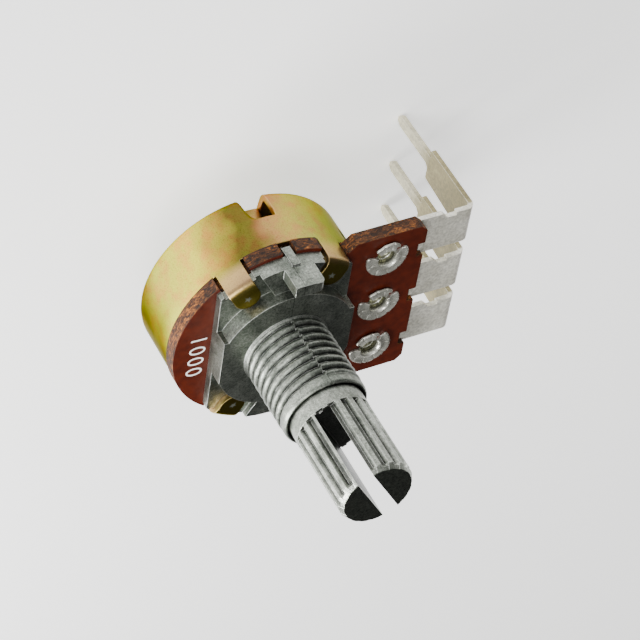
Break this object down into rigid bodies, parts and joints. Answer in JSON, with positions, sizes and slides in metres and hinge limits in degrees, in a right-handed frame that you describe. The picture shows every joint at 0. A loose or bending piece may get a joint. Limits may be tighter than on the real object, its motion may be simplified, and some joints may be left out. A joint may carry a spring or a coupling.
{
  "type": "rotary potentiometer",
  "caption": "Rotary potentiometer with a threaded bushing, a split knurled shaft and a row of bent board terminals.",
  "frame": {"origin": "centre of the raised mounting face, on the shaft axis", "axes": "+Z out along the shaft towards its tip, +X towards the terminals, +Y towards the locating lug"},
  "size_m": [0.0254, 0.0168, 0.03],
  "materials": {
    "plated_steel": "yellow passivated zinc plate, faintly iridescent",
    "die_casting": "matt die-cast zinc",
    "phenolic_board": "red-brown paper laminate with fibrous edges",
    "carbon_print": "matt printed carbon",
    "silver_print": "printed silver paste",
    "tinned_strip": "dull tin plate",
    "tinned_eyelet": "bright tin plate",
    "shaft_casting": "satin die-cast zinc",
    "spring_steel": "oiled spring steel",
    "moulded_rotor": "natural moulded plastic",
    "spring_bronze": "bright spring bronze"
  },
  "bodies": {
    "housing": {"bushing_plate": "die_casting", "rear_cover": "plated_steel", "wafer": "phenolic_board", "resistive_track": "carbon_print", "end_contacts": "silver_print", "collector_track": "silver_print", "terminal_1": "tinned_strip", "terminal_2": "tinned_strip", "terminal_3": "tinned_strip", "eyelet_1": "tinned_eyelet", "eyelet_2": "tinned_eyelet", "eyelet_3": "tinned_eyelet"},
    "rotor": {"shaft": "shaft_casting", "retaining_ring": "spring_steel", "carrier": "moulded_rotor", "wiper": "spring_bronze"}
  },
  "joints": [
    {"name": "shaft_turn", "type": "hinge", "parent": "housing", "child": "rotor", "pos_m": [0, 0, 0], "axis": [0, 0, 1], "range_deg": [-150, 150]}
  ]
}
